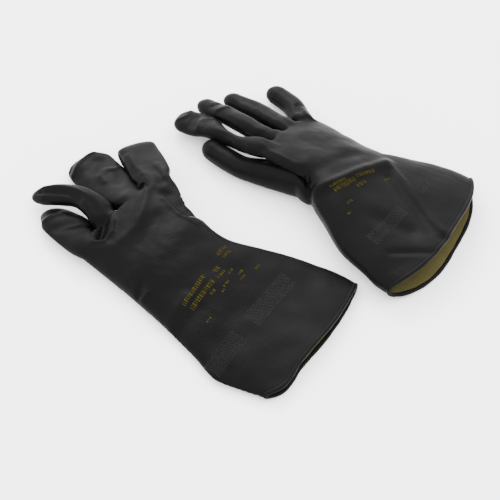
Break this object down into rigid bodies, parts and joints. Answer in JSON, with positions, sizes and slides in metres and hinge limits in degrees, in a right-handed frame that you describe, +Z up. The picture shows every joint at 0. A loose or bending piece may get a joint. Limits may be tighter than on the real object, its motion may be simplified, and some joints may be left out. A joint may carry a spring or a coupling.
{
  "type": "pair of electrical insulating gloves",
  "caption": "Pair of long black rubber insulating gauntlets lying palm down, with flared cuffs, rolled beads, an olive inner layer and digits that bend",
  "frame": {"origin": "centre of the pair's footprint, on the floor", "axes": "+Z up, +X to the viewer's right along the longer side of the footprint, +Y away from the viewer; fingers point towards -X +Y"},
  "size_m": [0.4572, 0.4392, 0.048],
  "materials": {
    "cuff_rubber": "dull black, slightly dusty",
    "bead_rubber": "smooth dull black",
    "hand_rubber": "dull black with a soft sheen",
    "stall_rubber": "dull black with a soft sheen",
    "tip_rubber": "dull black, finely textured for grip",
    "olive_inner_layer": "matt olive inner layer"
  },
  "bodies": {
    "left_gauntlet_body": {"left_gauntlet": "cuff_rubber", "left_cuff_bead": "bead_rubber", "left_gauntlet_liner": "olive_inner_layer"},
    "left_hand_body": {"left_hand": "hand_rubber", "left_hand_liner": "olive_inner_layer"},
    "left_thumb_base_body": {"left_thumb_base": "stall_rubber"},
    "left_thumb_tip_body": {"left_thumb_tip": "tip_rubber"},
    "left_index_base_body": {"left_index_base": "stall_rubber"},
    "left_index_tip_body": {"left_index_tip": "tip_rubber"},
    "left_middle_base_body": {"left_middle_base": "stall_rubber"},
    "left_middle_tip_body": {"left_middle_tip": "tip_rubber"},
    "left_ring_base_body": {"left_ring_base": "stall_rubber"},
    "left_ring_tip_body": {"left_ring_tip": "tip_rubber"},
    "left_little_base_body": {"left_little_base": "stall_rubber"},
    "left_little_tip_body": {"left_little_tip": "tip_rubber"},
    "right_gauntlet_body": {"right_gauntlet": "cuff_rubber", "right_cuff_bead": "bead_rubber", "right_gauntlet_liner": "olive_inner_layer"},
    "right_hand_body": {"right_hand": "hand_rubber", "right_hand_liner": "olive_inner_layer"},
    "right_thumb_base_body": {"right_thumb_base": "stall_rubber"},
    "right_thumb_tip_body": {"right_thumb_tip": "tip_rubber"},
    "right_index_base_body": {"right_index_base": "stall_rubber"},
    "right_index_tip_body": {"right_index_tip": "tip_rubber"},
    "right_middle_base_body": {"right_middle_base": "stall_rubber"},
    "right_middle_tip_body": {"right_middle_tip": "tip_rubber"},
    "right_ring_base_body": {"right_ring_base": "stall_rubber"},
    "right_ring_tip_body": {"right_ring_tip": "tip_rubber"},
    "right_little_base_body": {"right_little_base": "stall_rubber"},
    "right_little_tip_body": {"right_little_tip": "tip_rubber"}
  },
  "joints": [
    {"name": "left_wrist_bend", "type": "hinge", "parent": "left_gauntlet_body", "child": "left_hand_body", "pos_m": [-0.07662, -0.06137, 0.015], "axis": [0.6293, 0.7771, 0], "range_deg": [-10, 40], "stiffness_Nm_per_rad": 3},
    {"name": "left_index_knuckle", "type": "hinge", "parent": "left_hand_body", "child": "left_index_base_body", "pos_m": [-0.11097, 0.0567, 0.03162], "axis": [-0.8384, -0.5451, 0], "range_deg": [-15, 65], "stiffness_Nm_per_rad": 0.3},
    {"name": "left_index_middle", "type": "hinge", "parent": "left_index_base_body", "child": "left_index_tip_body", "pos_m": [-0.1353, 0.09412, 0.01646], "axis": [0.8384, 0.5451, 0], "range_deg": [0, 170], "stiffness_Nm_per_rad": 0.1},
    {"name": "left_middle_knuckle", "type": "hinge", "parent": "left_hand_body", "child": "left_middle_base_body", "pos_m": [-0.13796, 0.02974, 0.02638], "axis": [-0.7657, -0.6432, 0], "range_deg": [-15, 65], "stiffness_Nm_per_rad": 0.3},
    {"name": "left_middle_middle", "type": "hinge", "parent": "left_middle_base_body", "child": "left_middle_tip_body", "pos_m": [-0.16591, 0.06301, 0.0195], "axis": [-0.7657, -0.6432, 0], "range_deg": [-10, 60], "stiffness_Nm_per_rad": 0.2},
    {"name": "left_ring_knuckle", "type": "hinge", "parent": "left_hand_body", "child": "left_ring_base_body", "pos_m": [-0.15723, -0.00042, 0.02162], "axis": [-0.7067, -0.7075, 0], "range_deg": [-15, 65], "stiffness_Nm_per_rad": 0.3},
    {"name": "left_ring_middle", "type": "hinge", "parent": "left_ring_base_body", "child": "left_ring_tip_body", "pos_m": [-0.18678, 0.0291, 0.01723], "axis": [-0.7067, -0.7075, 0], "range_deg": [-10, 60], "stiffness_Nm_per_rad": 0.2},
    {"name": "left_little_knuckle", "type": "hinge", "parent": "left_hand_body", "child": "left_little_base_body", "pos_m": [-0.1738, -0.03201, 0.017], "axis": [-0.6687, -0.7435, 0], "range_deg": [-15, 65], "stiffness_Nm_per_rad": 0.3},
    {"name": "left_little_middle", "type": "hinge", "parent": "left_little_base_body", "child": "left_little_tip_body", "pos_m": [-0.19902, -0.00932, 0.01462], "axis": [-0.6687, -0.7435, 0], "range_deg": [-10, 60], "stiffness_Nm_per_rad": 0.2},
    {"name": "left_thumb_swing", "type": "hinge", "parent": "left_hand_body", "child": "left_thumb_base_body", "pos_m": [-0.08324, 0.00833, 0.0087], "axis": [0, 0, -1], "range_deg": [0, 50], "stiffness_Nm_per_rad": 0.3},
    {"name": "left_thumb_middle", "type": "hinge", "parent": "left_thumb_base_body", "child": "left_thumb_tip_body", "pos_m": [-0.11103, 0.01174, 0.0087], "axis": [-0.1219, -0.9925, 0], "range_deg": [0, 55], "stiffness_Nm_per_rad": 0.2},
    {"name": "right_wrist_bend", "type": "hinge", "parent": "right_gauntlet_body", "child": "right_hand_body", "pos_m": [0.09438, 0.05763, 0.022], "axis": [0.6691, 0.7431, 0], "range_deg": [-10, 40], "stiffness_Nm_per_rad": 3},
    {"name": "right_index_knuckle", "type": "hinge", "parent": "right_hand_body", "child": "right_index_base_body", "pos_m": [-0.00536, 0.09631, 0.03244], "axis": [-0.6839, -0.7296, 0], "range_deg": [-15, 65], "stiffness_Nm_per_rad": 0.3},
    {"name": "right_index_middle", "type": "hinge", "parent": "right_index_base_body", "child": "right_index_tip_body", "pos_m": [-0.03819, 0.12708, 0.02288], "axis": [-0.6839, -0.7296, 0], "range_deg": [-10, 60], "stiffness_Nm_per_rad": 0.2},
    {"name": "right_middle_knuckle", "type": "hinge", "parent": "right_hand_body", "child": "right_middle_base_body", "pos_m": [0.00939, 0.12016, 0.02733], "axis": [-0.7211, -0.6928, 0], "range_deg": [-15, 65], "stiffness_Nm_per_rad": 0.3},
    {"name": "right_middle_middle", "type": "hinge", "parent": "right_middle_base_body", "child": "right_middle_tip_body", "pos_m": [-0.02346, 0.15435, 0.01982], "axis": [-0.7211, -0.6928, 0], "range_deg": [-10, 60], "stiffness_Nm_per_rad": 0.2},
    {"name": "right_ring_knuckle", "type": "hinge", "parent": "right_hand_body", "child": "right_ring_base_body", "pos_m": [0.03126, 0.14146, 0.02165], "axis": [-0.7211, -0.6928, 0], "range_deg": [-15, 65], "stiffness_Nm_per_rad": 0.3},
    {"name": "right_ring_middle", "type": "hinge", "parent": "right_ring_base_body", "child": "right_ring_tip_body", "pos_m": [0.00094, 0.17302, 0.01705], "axis": [-0.7211, -0.6928, 0], "range_deg": [-10, 60], "stiffness_Nm_per_rad": 0.2},
    {"name": "right_little_knuckle", "type": "hinge", "parent": "right_hand_body", "child": "right_little_base_body", "pos_m": [0.05705, 0.16114, 0.0157], "axis": [-0.8206, -0.5715, 0], "range_deg": [-15, 65], "stiffness_Nm_per_rad": 0.3},
    {"name": "right_little_middle", "type": "hinge", "parent": "right_little_base_body", "child": "right_little_tip_body", "pos_m": [0.03764, 0.189, 0.01392], "axis": [-0.8206, -0.5715, 0], "range_deg": [-10, 60], "stiffness_Nm_per_rad": 0.2},
    {"name": "right_thumb_swing", "type": "hinge", "parent": "right_hand_body", "child": "right_thumb_base_body", "pos_m": [0.01707, 0.0465, 0.012], "axis": [0, 0, 1], "range_deg": [0, 35], "stiffness_Nm_per_rad": 0.3},
    {"name": "right_thumb_middle", "type": "hinge", "parent": "right_thumb_base_body", "child": "right_thumb_tip_body", "pos_m": [-0.02286, 0.07659, 0.012], "axis": [-0.6018, -0.7986, 0], "range_deg": [-10, 55], "stiffness_Nm_per_rad": 0.2},
    {"name": "right_glove_lift", "type": "slide", "parent": "left_gauntlet_body", "child": "right_gauntlet_body", "axis": [0, 0, 1], "range_m": [0, 0.25]}
  ]
}
